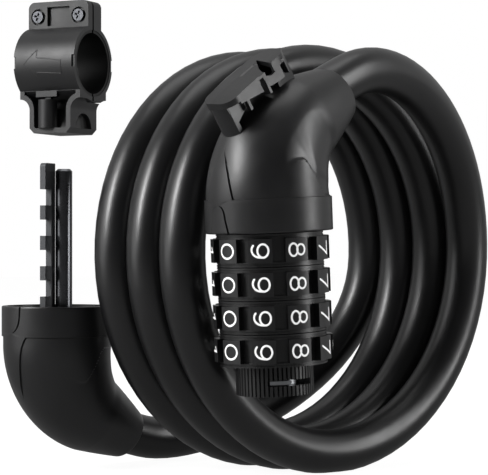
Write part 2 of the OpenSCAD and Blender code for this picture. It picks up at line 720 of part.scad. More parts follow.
// Flange and socket seen along the X axis, with concave shoulders; inset by the wall for the hollow
module socket_outline(wall) {
    half = bracket_l / 2;
    narrow = socket_w / 2 - wall;
    shoulder = half - socket_w / 2;
    bottom = flange_bottom - socket_h;
    chamfer = wall > 0 ? 0.6 : 1.6;
    difference() {
        translate([-half + wall, flange_bottom - shoulder])
            square([bracket_l - 2 * wall, shoulder + flange_h - wall / 2]);
        for (side = [-1, 1]) translate([side * half, flange_bottom - shoulder])
            circle(r = shoulder + wall, $fn = 48);
    }
    polygon([
        [-narrow, flange_bottom - shoulder + eps], [-narrow, bottom + wall + chamfer],
        [-narrow + chamfer, bottom + wall], [narrow - chamfer, bottom + wall],
        [narrow, bottom + wall + chamfer], [narrow, flange_bottom - shoulder + eps]
    ]);
}
module socket_body() {
    half = bracket_l / 2;
    back = socket_front + socket_d;
    arch_r = 4.8;
    boss_x = socket_front + boss_r * 0.3;
    boss_y = 1.3;
    boss_top = roof_z + 0.6;
    floor_top = flange_bottom - socket_h + socket_wall;
    tab_w = 7.6;
    difference() {
        translate([socket_front, 0, 0]) rotate([90, 0, 90]) linear_extrude(socket_d) socket_outline(0);
        translate([socket_front - 1, 0, 0]) rotate([90, 0, 90])
            linear_extrude(socket_d + 1 - socket_wall) socket_outline(socket_wall);
        translate([-jaw_gap / 2, -cut / 2, roof_z]) cube([cut, cut, cut]);
        translate([0, 0, floor_top]) intersection() {
            lying_cylinder(arch_r, cut);
            translate([-cut, -cut / 2, 0]) cube([2 * cut, cut, cut]);
        }
    }
    // roof over the back of the socket
    translate([-jaw_gap / 2 - 1, -socket_w / 2, roof_z - socket_wall])
        cube([back + jaw_gap / 2 + 1, socket_w, socket_wall]);
    // boss in the mouth and the tab above it
    translate([boss_x, boss_y, floor_top - eps]) cylinder(h = boss_top - floor_top, r = boss_r, $fn = 48);
    translate([socket_front, boss_y - tab_w / 2, flange_bottom + 0.6]) cube([1.4, tab_w, flange_h - 0.6]);
    translate([boss_x, boss_y - 1, boss_top - 1]) cube([1.6, 2, flange_bottom + 1.6 - boss_top]);
}

module bracket_front_jaw() {
    face = -ear_front - jaw_gap / 2;
    pocket_w = screw_pitch - sink_d - 1.6;
    color("#262627") in_bracket() difference() {
        union() {
            intersection() {
                lying_cylinder(jaw_r, bracket_l);
                translate([-cut, -cut / 2, -cut / 2]) cube([cut - jaw_gap / 2, cut, cut]);
            }
            ear(face, -jaw_gap / 2);
            socket_body();
        }
        lying_cylinder(liner_r, bracket_l + 2);
        screw_places() translate([0, 0, -cut / 2]) cylinder(h = cut, d = screw_d + 2 * apart, $fn = 32);
        screw_places() translate([0, 0, face - 1]) cylinder(h = 1 + sink_h, d = sink_d, $fn = 32);
        translate([face - 1, -pocket_w / 2, screw_z - 3]) cube([1 + sink_h, pocket_w, 6]);
        translate([-jaw_r - 1, -cut / 2, -1.8]) cube([1.6, cut, 3.6]);
    }
}

module bracket_rear_jaw() {
    back = jaw_gap / 2 + ear_rear;
    color("#262627") in_bracket() difference() {
        union() {
            intersection() {
                lying_cylinder(jaw_r, bracket_l);
                translate([jaw_gap / 2, -cut / 2, -cut / 2]) cube([cut, cut, cut]);
            }
            ear(jaw_gap / 2, back);
            intersection() {
                translate([jaw_gap / 2, 0, 0]) rotate([90, 0, 90])
                    linear_extrude(socket_front + socket_d - jaw_gap / 2) socket_outline(0);
                translate([0, -cut / 2, -jaw_r]) cube([cut, cut, cut]);
            }
        }
        lying_cylinder(liner_r, bracket_l + 2);
        screw_places() translate([0, 0, -cut / 2]) cylinder(h = cut, d = screw_d + 2 * apart, $fn = 32);
        screw_places() translate([0, 0, back]) cube([nut_w + 2 * seat, nut_w + 2 * seat, 2 * nut_t], center = true);
        translate([jaw_r - 0.6, -cut / 2, -1.8]) cube([1.6, cut, 3.6]);
    }
}

module half_liner(side) {
    color("#121213") in_bracket() intersection() {
        difference() {
            lying_cylinder(liner_r, bracket_l - 0.4);
            lying_cylinder(tube_d / 2, bracket_l + 2);
        }
        translate([side > 0 ? jaw_gap / 2 : -cut - jaw_gap / 2, -cut / 2, -cut / 2]) cube([cut, cut, cut]);
    }
}
module front_liner() { half_liner(-1); }
module rear_liner() { half_liner(1); }

screw_head_h = 1.6;
screw_tail = 2.4;
nut_w = 4.4;
nut_t = 1.5;
module clamp_screw(side) {
    head_at = -ear_front - jaw_gap / 2 + sink_h - screw_head_h;
    length = ear_front + ear_rear + jaw_gap - sink_h + screw_head_h + screw_tail;
    slot = [0.6, 2.6];
    color("#b9bcc0") in_bracket() translate([head_at, side * screw_pitch / 2, screw_z]) rotate([0, 90, 0])
        difference() {
            union() {
                cylinder(h = length, d = screw_d, $fn = 32);
                cylinder(h = screw_head_h, d = screw_head_d, $fn = 32);
            }
            for (a = [0, 90]) rotate([0, 0, a + 20]) cube([slot[0], slot[1], 1.6], center = true);
        }
}
module clamp_screw_left() { clamp_screw(1); }
module clamp_screw_right() { clamp_screw(-1); }
module clamp_nuts() {
    color("#a9acb0") in_bracket() for (side = [-1, 1])
        translate([jaw_gap / 2 + ear_rear - nut_t, side * screw_pitch / 2, screw_z]) rotate([0, 90, 0]) difference() {
            translate([-nut_w / 2, -nut_w / 2, 0]) cube([nut_w, nut_w, nut_t]);
            translate([0, 0, -1]) cylinder(h = nut_t + 2, d = screw_d + 2 * run_gap, $fn = 32);
        }
}

lock_housing();
spindle();
detent_balls();
detent_springs();
dial_1();
dial_2();
dial_3();
dial_4();
clutch_ring_1();
clutch_ring_2();
clutch_ring_3();
clutch_ring_4();
wave_spring();
reset_ring();
reset_key();
retaining_clip();
lock_ferrule();
cable_jacket();
cable_core();
bolt_ferrule();
bolt_housing();
cup_plate();
bolt_rod();
bolt_bar();
bracket_front_jaw();
bracket_rear_jaw();
front_liner();
rear_liner();
clamp_screw_left();
clamp_screw_right();
clamp_nuts();
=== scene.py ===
"""Builds a self-coiling combination cable lock and its frame bracket round their CAD frame."""

import math

import bmesh
import bpy
from mathutils import Matrix, Vector


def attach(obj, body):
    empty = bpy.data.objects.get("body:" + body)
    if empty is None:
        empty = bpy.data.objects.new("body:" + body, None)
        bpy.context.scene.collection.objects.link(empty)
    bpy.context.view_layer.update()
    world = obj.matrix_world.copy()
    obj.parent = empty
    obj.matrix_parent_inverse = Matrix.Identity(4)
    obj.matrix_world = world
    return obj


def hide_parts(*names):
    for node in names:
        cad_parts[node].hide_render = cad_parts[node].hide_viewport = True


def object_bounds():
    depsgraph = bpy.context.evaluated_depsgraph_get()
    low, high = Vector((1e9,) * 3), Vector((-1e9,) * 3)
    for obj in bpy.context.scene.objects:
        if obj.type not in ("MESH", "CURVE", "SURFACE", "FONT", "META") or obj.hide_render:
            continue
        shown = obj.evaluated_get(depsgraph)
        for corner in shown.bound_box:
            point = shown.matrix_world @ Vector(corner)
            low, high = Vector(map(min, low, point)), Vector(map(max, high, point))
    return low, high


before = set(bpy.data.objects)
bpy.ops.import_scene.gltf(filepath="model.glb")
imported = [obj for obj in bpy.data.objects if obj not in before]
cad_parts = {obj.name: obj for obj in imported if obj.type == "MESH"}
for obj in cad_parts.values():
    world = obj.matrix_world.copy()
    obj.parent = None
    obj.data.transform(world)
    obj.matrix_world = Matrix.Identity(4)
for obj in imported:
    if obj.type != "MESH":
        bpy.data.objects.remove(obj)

bl_info = {
    "name": "Coiled Cable Lock",
    "version": (1, 0, 0),
    "blender": (4, 5, 0),
    "location": "3D View > Sidebar > Cable Lock",
    "description": "Builds a coiled combination cable lock with its frame bracket",
    "category": "Object",
}

MM = 0.001
CAD_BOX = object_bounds()


def linear(hex_colour):
    """Turns an sRGB hex value into linear red, green and blue."""
    channels = [int(hex_colour[i:i + 2], 16) / 255 for i in (1, 3, 5)]
    return tuple(c / 12.92 if c <= 0.04045 else ((c + 0.055) / 1.055) ** 2.4 for c in channels)


# ---------------------------------------------------------------- settings

class CableSettings(bpy.types.PropertyGroup):
    """Sizes and colour of the coiled cable"""

    diameter: bpy.props.FloatProperty(
        name="Cable Diameter", description="Outer diameter of the vinyl jacket",
        default=0.012, min=0.008, max=0.016, unit="LENGTH")
    rope: bpy.props.FloatProperty(
        name="Rope Diameter", description="Diameter of the steel rope inside the jacket",
        default=0.007, min=0.004, max=0.0075, unit="LENGTH")
    coil_radius: bpy.props.FloatProperty(
        name="Coil Radius", description="Radius of the coil, to the middle of the cable",
        default=0.053, min=0.045, max=0.06, unit="LENGTH")
    coil_pitch: bpy.props.FloatProperty(
        name="Coil Pitch", description="Distance between two neighbouring turns",
        default=0.013, min=0.012, max=0.018, unit="LENGTH")
    length: bpy.props.FloatProperty(
        name="Cable Length", description="Length of the cable between the two heads",
        default=1.226, min=0.8, max=2.0, unit="LENGTH")
    colour: bpy.props.FloatVectorProperty(
        name="Vinyl Colour", description="Colour of the cable's jacket",
        subtype="COLOR", size=3, min=0, max=1, default=linear("#0e0e0f"))


class HeadSettings(bpy.types.PropertyGroup):
    """Sizes and colours of the two heads"""

    collar: bpy.props.FloatProperty(
        name="Collar Diameter", description="Diameter of the collar above the dials",
        default=0.032, min=0.031, max=0.036, unit="LENGTH")
    rim: bpy.props.FloatProperty(
        name="Rim Diameter", description="Diameter of the bolt head's rim",
        default=0.0304, min=0.0295, max=0.034, unit="LENGTH")
    dial: bpy.props.FloatProperty(
        name="Dial Diameter", description="Diameter across the raised number faces",
        default=0.0297, min=0.028, max=0.034, unit="LENGTH")
    digit: bpy.props.FloatProperty(
        name="Digit Height", description="Height of a painted digit",
        default=0.0044, min=0.003, max=0.006, unit="LENGTH")
    housing_colour: bpy.props.FloatVectorProperty(
        name="Housing Colour", description="Colour of the moulded housings",
        subtype="COLOR", size=3, min=0, max=1, default=linear("#121213"))
    dial_colour: bpy.props.FloatVectorProperty(
        name="Dial Colour", description="Colour of the number dials",
        subtype="COLOR", size=3, min=0, max=1, default=linear("#0f0f10"))
    digit_colour: bpy.props.FloatVectorProperty(
        name="Digit Colour", description="Colour of the painted digits",
        subtype="COLOR", size=3, min=0, max=1, default=linear("#f4f4f4"))


class StageSettings(bpy.types.PropertyGroup):
    """Floor and lamps"""

    floor_colour: bpy.props.FloatVectorProperty(
        name="Floor Colour", description="Colour of the floor and the backdrop",
        subtype="COLOR", size=3, min=0, max=1, default=linear("#ffffff"))
    side_power: bpy.props.FloatProperty(
        name="Side Lamps", description="Power of each side lamp in watts",
        default=3.0, min=0, max=100)
    key_power: bpy.props.FloatProperty(
        name="Key Lamp", description="Power of the tall narrow lamp on the left in watts",
        default=7.0, min=0, max=100)
    top_power: bpy.props.FloatProperty(
        name="Top Lamp", description="Power of the lamp above in watts",
        default=2.0, min=0, max=100)


# ---------------------------------------------------------------- places

# Lean of the dial head and place of its carrying lug, which is the origin
HEAD_LEAN = math.radians(3)
LUG_AT = Vector((-6.37174, 0, 38.496))
IN_DIAL_HEAD = (Matrix.Scale(MM, 4) @ Matrix.Rotation(-HEAD_LEAN, 4, "Y")
                @ Matrix.Translation(-LUG_AT))
# Middle of the bolt head's rim
BOLT_AT = Vector((-1.0, 73.4, -58.0))
IN_BOLT_HEAD = (Matrix.Scale(MM, 4) @ Matrix.Translation(BOLT_AT)
                @ Matrix.Rotation(math.pi, 4, "X"))
BRACKET_TURN = math.radians(20)
IN_BRACKET = (Matrix.Scale(MM, 4) @ Matrix.Translation((51.0, 136.4, 16.0))
              @ Matrix.Rotation(BRACKET_TURN, 4, "Z"))
LUG_NORMAL = math.radians(58)
ON_LUG = (IN_DIAL_HEAD @ Matrix.Translation(LUG_AT)
          @ Matrix.Rotation(math.atan2(-math.cos(LUG_NORMAL), math.sin(LUG_NORMAL)), 4, "Y"))

# Sizes in millimetres from here on. Step between a housing's band and its body
PANEL_STEP = 0.4
# Straight height of the dial head's collar and of the bolt head's rim, below their bends
COLLAR_H, RIM_H = 8.5, 11.0
# Bend that both housings share, and the straight nose after it
BEND_R = 21.6
BEND_ANGLE = math.radians(63)
NOSE_L = 14.3
BEND_L = BEND_R * BEND_ANGLE
# Middle of the coil's first turn, whose axis runs along Y
COIL_X, COIL_Y, COIL_Z = 53.65, 24.0, -44.95
COIL_TURNS = 3
# Angle at which the cable leaves each head, and how far its middle lies off the nose's end
START_RISE, TAIL_DROP = math.radians(22), math.radians(15)
START_SHIFT, TAIL_SHIFT = 2.4, -0.5
# Pulls at both ends of each lead, which shape its curve
START_PULLS, TAIL_PULLS = (26, -36), (-38, 22)
# How far the jacket and the rope run into the heads
JACKET_INSET, ROPE_INSET = 7.0, 16.5
# The stack of dials below the collar
DIAL_GAP, DIAL_H, DIAL_PITCH = 0.2, 8.05, 8.25
# Direction in which the camera looks
LOOK = Vector((0.6926, 0.7212, 0.0059))


# ---------------------------------------------------------------- mesh tools

def piece_from(name, bm, place, body, material, smooth_angle=35):
    """Turns a mesh drawn in millimetres into a piece that rides on a body."""
    bmesh.ops.remove_doubles(bm, verts=bm.verts, dist=1e-5)
    bmesh.ops.recalc_face_normals(bm, faces=bm.faces)
    mesh = bpy.data.meshes.new(name)
    bm.to_mesh(mesh)
    bm.free()
    mesh.transform(place)
    piece = bpy.data.objects.new(name, mesh)
    bpy.context.scene.collection.objects.link(piece)
    mesh.materials.append(material)
    mesh.shade_smooth()
    mesh.set_sharp_from_angle(angle=math.radians(smooth_angle))
    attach(piece, body)
    return piece


def applied(piece):
    """Bakes a piece's modifiers into its mesh."""
    seen = piece.evaluated_get(bpy.context.evaluated_depsgraph_get())
    mesh = bpy.data.meshes.new_from_object(seen)
    piece.modifiers.clear()
    piece.data = mesh
    return piece


def soft_edges(piece, width_mm, angle=35, segments=2, flatten=True):
    """Rounds a piece's sharp edges, as a mould's corners are."""
    if flatten:
        flat = piece.modifiers.new("flat faces", "DECIMATE")
        flat.decimate_type = "DISSOLVE"
        flat.angle_limit = math.radians(1.5)
    round_ = piece.modifiers.new("rounded edges", "BEVEL")
    round_.width = width_mm * MM
    round_.segments = segments
    round_.limit_method = "ANGLE"
    round_.angle_limit = math.radians(angle)
    round_.use_clamp_overlap = True
    round_.harden_normals = True
    return piece


def skin(bm, rings, closed=False, capped=True):
    """Joins rings of points with faces."""
    rows = [[bm.verts.new(p) for p in ring] for ring in rings]
    count = len(rows[0])
    pairs = list(zip(rows, rows[1:] + ([rows[0]] if closed else [])))
    if not closed:
        pairs = pairs[:len(rows) - 1]
    for low, high in pairs:
        for j in range(count):
            k = (j + 1) % count
            bm.faces.new((low[j], low[k], high[k], high[j]))
    if capped and not closed:
        bm.faces.new(list(reversed(rows[0])))
        bm.faces.new(rows[-1])
    return rows


def smooth_step(low, high, value):
    t = min(1.0, max(0.0, (value - low) / (high - low)))
    return t * t * (3 - 2 * t)


# ---------------------------------------------------------------- cable route

def lean(v):
    c, s = math.cos(HEAD_LEAN), math.sin(HEAD_LEAN)
    return Vector((v[0] * c - v[2] * s, v[1], v[0] * s + v[2] * c))


def bend_point(height, angle):
    return Vector((BEND_R * (1 - math.cos(angle)), 0, height + BEND_R * math.sin(angle)))


def nose_dir(angle):
    return Vector((math.sin(angle), 0, math.cos(angle)))


def nose_end(height):
    return bend_point(height, BEND_ANGLE) + NOSE_L * nose_dir(BEND_ANGLE)


def coil_point(s, radius, pitch):
    a = 2 * math.pi * s
    return Vector((COIL_X - radius * math.cos(a), COIL_Y - pitch * s, COIL_Z - radius * math.sin(a)))


def coil_dir(s, radius, pitch):
    a = 2 * math.pi * s
    way = 2 * math.pi * radius
    return Vector((way * math.sin(a), -pitch, -way * math.cos(a))).normalized()


def lead(a, da, b, db, t):
    return ((1 - t) ** 3 * a + 3 * (1 - t) ** 2 * t * (a + da)
            + 3 * (1 - t) * t * t * (b - db) + t ** 3 * b)


def lead_dir(a, da, b, db, t):
    return ((1 - t) ** 2 * da + 2 * (1 - t) * t * (b - db - a - da) + t * t * db).normalized()


def cable_route(settings, inset, rings_per_turn=72, lead_rings=26):
    """Places and directions from the dial head to the bolt head, in millimetres."""
    radius, pitch = settings.coil_radius / MM, settings.coil_pitch / MM
    thick = settings.diameter / MM
    start = lean(nose_end(COLLAR_H) + Vector((0, 0, START_SHIFT)) - LUG_AT)
    start_dir = lean((math.cos(START_RISE), 0, math.sin(START_RISE)))
    tail_exit = nose_end(RIM_H) + Vector((0, 0, TAIL_SHIFT))
    end = BOLT_AT + Vector((tail_exit[0], 0, -tail_exit[2]))
    end_dir = -Vector((math.cos(TAIL_DROP), 0, -math.sin(TAIL_DROP)))
    first, last = 0.5, 0.5 - COIL_TURNS
    run_in, run_out = start + thick / 2 * start_dir, end - thick / 2 * end_dir
    route = [(start - inset * start_dir, start_dir)]
    a, b = START_PULLS[0] * start_dir, START_PULLS[1] * coil_dir(first, radius, pitch)
    top = coil_point(first, radius, pitch)
    for i in range(lead_rings + 1):
        t = i / lead_rings
        route.append((lead(run_in, a, top, b, t), lead_dir(run_in, a, top, b, t)))
    for i in range(1, COIL_TURNS * rings_per_turn):
        s = first - i / rings_per_turn
        route.append((coil_point(s, radius, pitch), -coil_dir(s, radius, pitch)))
    a, b = TAIL_PULLS[0] * coil_dir(last, radius, pitch), TAIL_PULLS[1] * end_dir
    foot = coil_point(last, radius, pitch)
    for i in range(lead_rings + 1):
        t = i / lead_rings
        route.append((lead(foot, a, run_out, b, t), lead_dir(foot, a, run_out, b, t)))
    route.append((end + inset * end_dir, end_dir))
    return route


def tube_rings(route, radius_at, sides):
    """Rings round a route; radius_at gives the radius at an angle and a distance along."""
    rings, along, before = [], 0.0, None
    for place, direction in route:
        if before is not None:
            along += (place - before).length
        before = place
        across = (Vector((0, 1, 0)) - direction.y * direction).normalized()
        other = direction.cross(across)
        ring = []
        for j in range(sides):
            a = 2 * math.pi * j / sides
            ring.append(place + radius_at(a, along) * (math.cos(a) * across + math.sin(a) * other))
        rings.append(ring)
    return rings


# ---------------------------------------------------------------- materials

def add_node(tree, kind, settings=(), values=(), links=()):
    """Adds a node with its settings, its sockets' values and the links into it."""
    node = tree.nodes.new(kind)
    for key, value in dict(settings).items():
        setattr(node, key, value)
    for key, value in dict(values).items():
        node.inputs[key].default_value = value
    for key, socket in dict(links).items():
        tree.links.new(socket, node.inputs[key])
    return node


def per_mm(size_mm):
    """Scale of a pattern whose features are that many millimetres apart."""
    return 1.0 / (size_mm * MM)


def finish(name, colour, rough, grain_mm, grain_depth_mm, spread=0.12, metallic=0.0, ior=1.5,
           rough_spread=0.06, patch_mm=9.0, streak=None, coat=0.0, specular=0.5):
    """A moulded, drawn or cast surface: colour that varies a little over patches,
    roughness that varies with them, and a fine relief of the given grain."""
    material = bpy.data.materials.new(name)
    material.use_nodes = True
    tree = material.node_tree
    tree.nodes.clear()
    place = add_node(tree, "ShaderNodeTexCoord")
    where = place.outputs["Object"]
    if streak:
        where = add_node(tree, "ShaderNodeMapping", values={"Scale": streak},
                         links={"Vector": where}).outputs[0]
    patches = add_node(tree, "ShaderNodeTexNoise", values={
        "Scale": per_mm(patch_mm), "Detail": 4.0, "Roughness": 0.6},
        links={"Vector": place.outputs["Object"]})
    grain = add_node(tree, "ShaderNodeTexNoise", values={
        "Scale": per_mm(grain_mm), "Detail": 2.0, "Roughness": 0.5}, links={"Vector": where})
    dark = tuple(c * (1 - spread) for c in colour)
    light = tuple(min(1.0, c * (1 + spread)) for c in colour)
    shade = add_node(tree, "ShaderNodeMix", {"data_type": "RGBA"},
                     {"A": (*dark, 1), "B": (*light, 1)}, {"Factor": patches.outputs["Fac"]})
    rougher = add_node(tree, "ShaderNodeMapRange", values={
        "From Min": 0.3, "From Max": 0.7, "To Min": max(0.02, rough - rough_spread),
        "To Max": rough + rough_spread}, links={"Value": patches.outputs["Fac"]})
    relief = add_node(tree, "ShaderNodeBump", values={"Strength": 1.0, "Distance": grain_depth_mm * MM},
                      links={"Height": grain.outputs["Fac"]})
    shader = add_node(tree, "ShaderNodeBsdfPrincipled",
                      values={"Metallic": metallic, "IOR": ior, "Coat Weight": coat,
                              "Specular IOR Level": specular},
                      links={"Base Color": shade.outputs["Result"], "Roughness": rougher.outputs["Result"],
                             "Normal": relief.outputs["Normal"]})
    add_node(tree, "ShaderNodeOutputMaterial", links={"Surface": shader.outputs[0]})
    return material


class Finishes:
    """The object's materials, each made once."""

    made = {}

    @classmethod
    def get(cls, name, *args, **kwargs):
        if name not in cls.made:
            cls.made[name] = finish(name, *args, **kwargs)
        return cls.made[name]


def moulded_abs():
    # ABS from a finely spark-eroded mould: satin, with a grain that catches the light
    colour = tuple(bpy.context.scene.lock_heads.housing_colour)
    return Finishes.get("moulded_abs", colour, 0.38, 0.35, 0.006)


def dial_abs():
    # The dials' mould is smoother than the housing's
    colour = tuple(bpy.context.scene.lock_heads.dial_colour)
    return Finishes.get("dial_abs", colour, 0.36, 0.5, 0.003)


def soft_vinyl():
    # Plasticised PVC, extruded hot: smooth and satin, with long faint waves
    colour = tuple(bpy.context.scene.lock_cable.colour)
    return Finishes.get("soft_vinyl", colour, 0.34, 1.6, 0.006, patch_mm=14.0, rough_spread=0.04)


def bracket_nylon():
    # Glass-filled nylon: a slightly greyer black with a dull bloom
    return Finishes.get("bracket_nylon", linear("#161617"), 0.46, 0.4, 0.006)


def liner_rubber():
    # Dense rubber, moulded against polished steel: very dark, with soft glints
    return Finishes.get("liner_rubber", linear("#080808"), 0.42, 0.6, 0.008, specular=0.3)


def dark_bolt_steel():
    # Case-hardened steel, drawn along its length and blackened
    return Finishes.get("dark_bolt_steel", linear("#5a5b5e"), 0.27, 0.25, 0.002, metallic=1.0,
                        streak=(1, 1, 0.03), patch_mm=5.0, rough_spread=0.03)


def blackened_screw():
    # Cold-headed steel screws, blackened and oiled
    return Finishes.get("blackened_screw", linear("#4a4b4e"), 0.34, 0.3, 0.003, metallic=1.0, patch_mm=1.5)


def dark_cast_steel():
    # The toothed bar is sintered and steam-blued: its oxide film is dull and scatters light
    return Finishes.get("dark_cast_steel", linear("#454648"), 0.55, 0.22, 0.006, metallic=0.45, patch_mm=4.0)


def turned_steel():
    # Turned tube with fine rings round its axis
    return Finishes.get("turned_steel", linear("#8f9194"), 0.3, 0.2, 0.003, metallic=1.0,
                        streak=(0.05, 0.05, 1))


def bright_steel():
    # Zinc-plated steel: bright, with a slightly clouded film
    return Finishes.get("bright_steel", linear("#c9cbce"), 0.24, 0.3, 0.002, metallic=1.0, patch_mm=2.0)


def plain_brass():
    # Pressed brass
    return Finishes.get("plain_brass", linear("#b08d4a"), 0.32, 0.3, 0.002, metallic=1.0, patch_mm=3.0)


def rope_steel():
    # Galvanised wire
    return Finishes.get("rope_steel", linear("#8f9296"), 0.4, 0.3, 0.004, metallic=1.0, patch_mm=3.0)


def white_enamel():
    # Pad-printed enamel: white, smooth and thin
    colour = tuple(bpy.context.scene.lock_heads.digit_colour)
    return Finishes.get("white_enamel", colour, 0.4, 0.4, 0.001, spread=0.02)


def dress(node, material, edge_mm=0.0):
    """Gives a CAD node its material and rounds its edges."""
    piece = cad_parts[node]
    piece.data.materials.clear()
    piece.data.materials.append(material)
    if edge_mm:
        soft_edges(piece, edge_mm)
    return piece


# ---------------------------------------------------------------- housings

def taper(base, nose, share):
    return base - (base - nose) * share ** 1.55


def body_station(height, base, nose, s):
    """Middle, direction and radius of a housing at a distance s along it."""
    if s <= height:
        return Vector((0, 0, s)), 0.0, base
    share = (s - height) / (BEND_L + NOSE_L)
    radius = taper(base, nose, min(1.0, share))
    if s - height <= BEND_L:
        angle = (s - height) / BEND_R
        return bend_point(height, angle), angle, radius
    return (bend_point(height, BEND_ANGLE) + (s - height - BEND_L) * nose_dir(BEND_ANGLE),
            BEND_ANGLE, radius)


def body_point(height, base, nose, s, phi, change=0.0):
    """A point on a housing: phi is 0 outside its bend, and -90 degrees on the side to -Y."""
    middle, angle, radius = body_station(height, base, nose, s)
    out = Vector((-math.cos(angle), 0, math.sin(angle)))
    return middle + (radius + change) * (math.cos(phi) * out + math.sin(phi) * Vector((0, 1, 0)))


def columns_round(count, edge, gap):
    """Angles round a housing, with close pairs at both sides of an edge that runs along it."""
    angles = {round(2 * math.pi * i / count - math.pi, 6) for i in range(count)}
    for middle in (-edge, edge):
        angles = {a for a in angles if abs(a - middle) > 1.3 * gap}
        angles |= {round(middle - gap, 6), round(middle, 6), round(middle + gap, 6)}
    return sorted(angles)


def between(table, value):
    """Reads a table of (place, value) pairs, with straight lines between them."""
    if value <= table[0][0]:
        return table[0][1]
    for (x0, y0), (x1, y1) in zip(table, table[1:]):
        if value <= x1:
            return y0 + (y1 - y0) * (value - x0) / (x1 - x0)
    return table[-1][1]


# Outline of the thumb scoop: its left edge by distance along the housing, its lower
# edge and the ridge across it by angle, in degrees and millimetres
SCOOP_LEFT = ((13.0, 62.0), (14.0, 61.3), (15.4, 59.3), (17.0, 57.8), (18.5, 57.8), (20.0, 58.8),
              (21.8, 61.0), (27.3, 64.0), (30.0, 70.0), (32.0, 78.0), (33.0, 90.0))
SCOOP_LOW = ((57.0, 12.4), (61.3, 13.9), (63.8, 14.85), (68.3, 15.9), (72.9, 16.45), (78.4, 16.9),
             (85.4, 16.1), (93.9, 14.4), (100.9, 12.4), (105.4, 10.5), (112.0, 8.9), (180.0, 8.9))
SCOOP_RIDGE = ((60.0, 21.6), (68.8, 20.6), (74.9, 19.9), (82.9, 18.6), (91.9, 16.2), (97.0, 14.0))


def scoop(s, phi, depth):
    """Depth of the shallow thumb scoop in a housing's side: a sloped flat whose lower
    end is a rounded notch, with a ridge where a second, wider flat begins."""
    w = abs(math.degrees(phi))
    if w < 57 or s < 8.9 or s > 34:
        return 0.0
    left = between(SCOOP_LEFT, s)
    if w < left:
        return 0.0
    flat = math.sin(math.pi * min(1.0, (w - left) / 84.0))
    low = between(SCOOP_LOW, w)
    wall = smooth_step(low - 0.12, low + 0.22, s)
    top = smooth_step(33.4, 29.0, s)
    ridge = between(SCOOP_RIDGE, w)
    second = 0.3 * smooth_step(ridge - 0.3, ridge + 2.6, s) if w > 66 else 0.0
    notch = 0.22 * smooth_step(ridge + 0.2, ridge - 1.4, s) * smooth_step(96, 84, w)
    return depth * flat * wall * top * (1.0 - second) + depth * notch * wall * flat


class HousingForm:
    """Sizes of a bent housing, in millimetres and degrees."""

    def __init__(self, wall, band, bend_at, nose, mark_at, mark, tongue, scoop_depth,
                 groove_side, far_groove, swelling=0.0):
        self.wall, self.band, self.bend_at, self.nose = wall, band, bend_at, nose
        self.groove_side, self.far_groove, self.swelling = groove_side, far_groove, swelling
        self.mark_at = math.radians(mark_at)
        self.mark, self.tongue, self.scoop_depth = mark, tongue, scoop_depth
        self.base = wall - PANEL_STEP
        self.mark_end = mark[-1][0]
        self.tip = tongue[-1][0]
        self.total = bend_at + BEND_L + NOSE_L

    def half_width(self, s):
        """Half the angle that the index mark or the tongue above it takes up."""
        if s <= self.mark_end:
            return math.radians(between(self.mark, s))
        if s < self.band:
            share = (s - self.mark_end) / (self.band - self.mark_end)
            return math.radians(0.5 + share * (self.tongue[0][1] - 0.5))
        return math.radians(between(self.tongue, s))

    def rows(self):
        """Distances along the housing at which its rings stand."""
        rows = [0.0, 0.08, 0.25]
        rows += [0.5 + 0.4 * i for i in range(int((self.mark_end - 2.2) / 0.4))]
        rows += [self.mark_end - 1.6 + 0.1 * i for i in range(18)]
        rows += [self.band + d for d in (-0.5, -0.25, -0.13, -0.07, -0.02, 0.01, 0.03, 0.2)]
        start = self.band + 0.5
        rows += [start + 0.33 * i for i in range(int((self.total - start - 0.7) / 0.33))]
        return sorted(set(rows)) + [self.total - d for d in (0.5, 0.3, 0.12, 0.0)]


def housing_mesh(form):
    """Rings of a bent housing, with its band, its index mark and the tongue above the band."""
    edge, gap, mark_depth, seam_depth, near = math.radians(17), 0.012, 0.65, 0.12, 1e-5
    columns = columns_round(192, edge, gap)
    rings = []
    for s in form.rows():
        half = form.half_width(s)
        ring = []
        for u in columns:
            inside = abs(u) < edge
            if inside:
                turn = u * half / edge
            else:
                turn = math.copysign(half + (abs(u) - edge) * (math.pi - half) / (math.pi - edge), u)
            phi = turn + form.mark_at
            change = 0.0
            if s <= form.band:
                change = PANEL_STEP
            if not inside:
                change = PANEL_STEP * smooth_step(form.band + 0.005, form.band - 0.12, s)
            elif s > form.band:
                change = PANEL_STEP * smooth_step(form.tip, form.tip - 3.5, s)
            if abs(abs(u) - edge) < near:
                if s > form.band:
                    change = -seam_depth * smooth_step(form.tip + 0.6, form.tip - 2.5, s)
                elif s < form.mark_end:
                    change = PANEL_STEP
            if s < form.mark_end and -near < abs(u) - edge < gap + near:
                share = 1.0 if u * form.groove_side > 0 else form.far_groove
                change -= mark_depth * share * smooth_step(form.mark_end, form.mark_end - 0.35, s)
            if s < 0.3:
                change -= 0.3 * (1 - math.sqrt(max(0.0, 1 - (1 - s / 0.3) ** 2)))
            if s > form.total - 0.5:
                t = (s - form.total + 0.5) / 0.5
                change -= 0.5 * (1 - math.sqrt(max(0.0, 1 - t * t)))
            change -= scoop(s - form.bend_at + 8.5, phi, form.scoop_depth)
            change += form.swelling * math.exp(-((s - 19.5) / 4.2) ** 2 - ((phi - 0.1) / 0.38) ** 2)
            ring.append(body_point(form.bend_at, form.base, form.nose, s, phi, change))
        rings.append(ring)
    return rings


